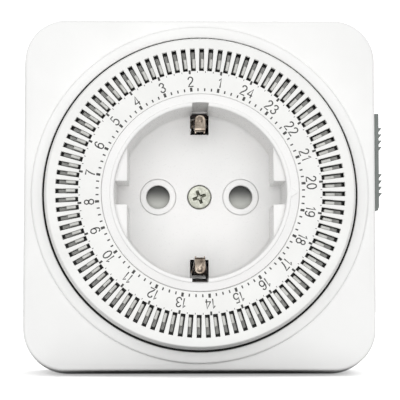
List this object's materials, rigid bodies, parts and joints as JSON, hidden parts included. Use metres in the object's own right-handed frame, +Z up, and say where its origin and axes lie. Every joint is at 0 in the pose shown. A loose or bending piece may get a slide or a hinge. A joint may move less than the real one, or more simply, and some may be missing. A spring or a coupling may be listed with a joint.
{
  "type": "plug-in timer switch",
  "caption": "Square mechanical plug-in timer: turning dial with push-in segments round an earthed socket well, side override slider, and a round-pin plug behind.",
  "frame": {"origin": "centre of the flat rear face, where the plug body leaves the housing, on the axis of plug and well", "axes": "+Y along the plug pins towards the wall, the dial faces -Y, +Z up as it hangs in a wall socket, +X towards the override slider"},
  "size_m": [0.0827, 0.0775, 0.081],
  "materials": {
    "white_abs": "satin moulded ABS, white",
    "dial_white": "fine matt moulding, white",
    "segment_grey": "moulded acetal, mid grey",
    "slider_grey": "moulded plastic, grey",
    "shutter_grey": "moulded plastic, light grey",
    "thermoset_black": "heat resistant moulding, dark",
    "acetal": "natural acetal",
    "nickel": "nickel plated brass",
    "zinc": "zinc plated steel",
    "spring_steel": "bright steel",
    "copper": "bare copper alloy strip",
    "winding": "enamelled copper wire",
    "lead_blue": "soft insulation"
  },
  "bodies": {
    "housing": {"front_housing": "white_abs", "rear_housing": "white_abs", "socket_insert": "white_abs", "housing_screws": "zinc", "centre_screw": "zinc", "motor_screws": "zinc", "contact_carrier": "thermoset_black", "switch_case": "thermoset_black", "shutter_spring": "spring_steel", "feeler_spring": "spring_steel", "feeler_axle": "spring_steel", "gear_axle": "spring_steel", "plug_pin_live": "nickel", "plug_pin_neutral": "nickel", "earth_clip_top": "nickel", "earth_clip_bottom": "nickel", "earth_strap_top": "nickel", "earth_strap_bottom": "nickel", "live_feed": "copper", "socket_contact_live": "copper", "socket_contact_neutral": "copper", "motor_can": "spring_steel", "motor_plate": "spring_steel", "motor_coil": "winding", "motor_leads": "lead_blue"},
    "dial": {"dial_ring": "dial_white", "segment_guide": "dial_white"},
    "slider": {"override_slider": "slider_grey"},
    "feeler": {"feeler_lever": "acetal"},
    "button": {"switch_button": "acetal"},
    "shutter": {"shutter": "shutter_grey"},
    "reduction": {"reduction_gear": "acetal"},
    "motor_rotor": {"motor_pinion": "acetal"},
    "hour_01": {"segments_hour_01": "segment_grey"},
    "hour_02": {"segments_hour_02": "segment_grey"},
    "hour_03": {"segments_hour_03": "segment_grey"},
    "hour_04": {"segments_hour_04": "segment_grey"},
    "hour_05": {"segments_hour_05": "segment_grey"},
    "hour_06": {"segments_hour_06": "segment_grey"},
    "hour_07": {"segments_hour_07": "segment_grey"},
    "hour_08": {"segments_hour_08": "segment_grey"},
    "hour_09": {"segments_hour_09": "segment_grey"},
    "hour_10": {"segments_hour_10": "segment_grey"},
    "hour_11": {"segments_hour_11": "segment_grey"},
    "hour_12": {"segments_hour_12": "segment_grey"},
    "hour_13": {"segments_hour_13": "segment_grey"},
    "hour_14": {"segments_hour_14": "segment_grey"},
    "hour_15": {"segments_hour_15": "segment_grey"},
    "hour_16": {"segments_hour_16": "segment_grey"},
    "hour_17": {"segments_hour_17": "segment_grey"},
    "hour_18": {"segments_hour_18": "segment_grey"},
    "hour_19": {"segments_hour_19": "segment_grey"},
    "hour_20": {"segments_hour_20": "segment_grey"},
    "hour_21": {"segments_hour_21": "segment_grey"},
    "hour_22": {"segments_hour_22": "segment_grey"},
    "hour_23": {"segments_hour_23": "segment_grey"},
    "hour_24": {"segments_hour_24": "segment_grey"}
  },
  "joints": [
    {"name": "dial_spin", "type": "hinge", "parent": "housing", "child": "dial", "pos_m": [0, -0.0409, 0], "axis": [0, 1, 0], "continuous": true},
    {"name": "reduction_spin", "type": "hinge", "parent": "housing", "child": "reduction", "pos_m": [-0.02816, -0.0292, -0.02816], "axis": [0, 1, 0], "continuous": true},
    {"name": "motor_spin", "type": "hinge", "parent": "housing", "child": "motor_rotor", "pos_m": [-0.01966, -0.0292, -0.02816], "axis": [0, 1, 0], "continuous": true},
    {"name": "override_slide", "type": "slide", "parent": "housing", "child": "slider", "axis": [0, 0, -1], "range_m": [0, 0.004]},
    {"name": "feeler_tilt", "type": "hinge", "parent": "housing", "child": "feeler", "pos_m": [0.0293, -0.0269, 0.0095], "axis": [1, 0, 0], "range_deg": [0, 5.3]},
    {"name": "switch_press", "type": "slide", "parent": "housing", "child": "button", "axis": [0, 1, 0], "range_m": [0, 0.00086]},
    {"name": "shutter_turn", "type": "hinge", "parent": "housing", "child": "shutter", "pos_m": [0, -0.0211, 0], "axis": [0, 1, 0], "range_deg": [0, 38], "stiffness_Nm_per_rad": 0.002},
    {"name": "hour_01_press", "type": "slide", "parent": "dial", "child": "hour_01", "axis": [0, 1, 0], "range_m": [0, 0.002]},
    {"name": "hour_02_press", "type": "slide", "parent": "dial", "child": "hour_02", "axis": [0, 1, 0], "range_m": [0, 0.002]},
    {"name": "hour_03_press", "type": "slide", "parent": "dial", "child": "hour_03", "axis": [0, 1, 0], "range_m": [0, 0.002]},
    {"name": "hour_04_press", "type": "slide", "parent": "dial", "child": "hour_04", "axis": [0, 1, 0], "range_m": [0, 0.002]},
    {"name": "hour_05_press", "type": "slide", "parent": "dial", "child": "hour_05", "axis": [0, 1, 0], "range_m": [0, 0.002]},
    {"name": "hour_06_press", "type": "slide", "parent": "dial", "child": "hour_06", "axis": [0, 1, 0], "range_m": [0, 0.002]},
    {"name": "hour_07_press", "type": "slide", "parent": "dial", "child": "hour_07", "axis": [0, 1, 0], "range_m": [0, 0.002]},
    {"name": "hour_08_press", "type": "slide", "parent": "dial", "child": "hour_08", "axis": [0, 1, 0], "range_m": [0, 0.002]},
    {"name": "hour_09_press", "type": "slide", "parent": "dial", "child": "hour_09", "axis": [0, 1, 0], "range_m": [0, 0.002]},
    {"name": "hour_10_press", "type": "slide", "parent": "dial", "child": "hour_10", "axis": [0, 1, 0], "range_m": [0, 0.002]},
    {"name": "hour_11_press", "type": "slide", "parent": "dial", "child": "hour_11", "axis": [0, 1, 0], "range_m": [0, 0.002]},
    {"name": "hour_12_press", "type": "slide", "parent": "dial", "child": "hour_12", "axis": [0, 1, 0], "range_m": [0, 0.002]},
    {"name": "hour_13_press", "type": "slide", "parent": "dial", "child": "hour_13", "axis": [0, 1, 0], "range_m": [0, 0.002]},
    {"name": "hour_14_press", "type": "slide", "parent": "dial", "child": "hour_14", "axis": [0, 1, 0], "range_m": [0, 0.002]},
    {"name": "hour_15_press", "type": "slide", "parent": "dial", "child": "hour_15", "axis": [0, 1, 0], "range_m": [0, 0.002]},
    {"name": "hour_16_press", "type": "slide", "parent": "dial", "child": "hour_16", "axis": [0, 1, 0], "range_m": [0, 0.002]},
    {"name": "hour_17_press", "type": "slide", "parent": "dial", "child": "hour_17", "axis": [0, 1, 0], "range_m": [0, 0.002]},
    {"name": "hour_18_press", "type": "slide", "parent": "dial", "child": "hour_18", "axis": [0, 1, 0], "range_m": [0, 0.002]},
    {"name": "hour_19_press", "type": "slide", "parent": "dial", "child": "hour_19", "axis": [0, 1, 0], "range_m": [0, 0.002]},
    {"name": "hour_20_press", "type": "slide", "parent": "dial", "child": "hour_20", "axis": [0, 1, 0], "range_m": [0, 0.002]},
    {"name": "hour_21_press", "type": "slide", "parent": "dial", "child": "hour_21", "axis": [0, 1, 0], "range_m": [0, 0.002]},
    {"name": "hour_22_press", "type": "slide", "parent": "dial", "child": "hour_22", "axis": [0, 1, 0], "range_m": [0, 0.002]},
    {"name": "hour_23_press", "type": "slide", "parent": "dial", "child": "hour_23", "axis": [0, 1, 0], "range_m": [0, 0.002]},
    {"name": "hour_24_press", "type": "slide", "parent": "dial", "child": "hour_24", "axis": [0, 1, 0], "range_m": [0, 0.002]}
  ],
  "couplings": [
    {"joint": "reduction_spin", "follows": "dial_spin", "ratio": -10},
    {"joint": "motor_spin", "follows": "dial_spin", "ratio": 24},
    {"joint": "feeler_tilt", "follows": "override_slide", "rad_per_m": 22.82},
    {"joint": "switch_press", "follows": "override_slide", "ratio": 0.2125}
  ]
}
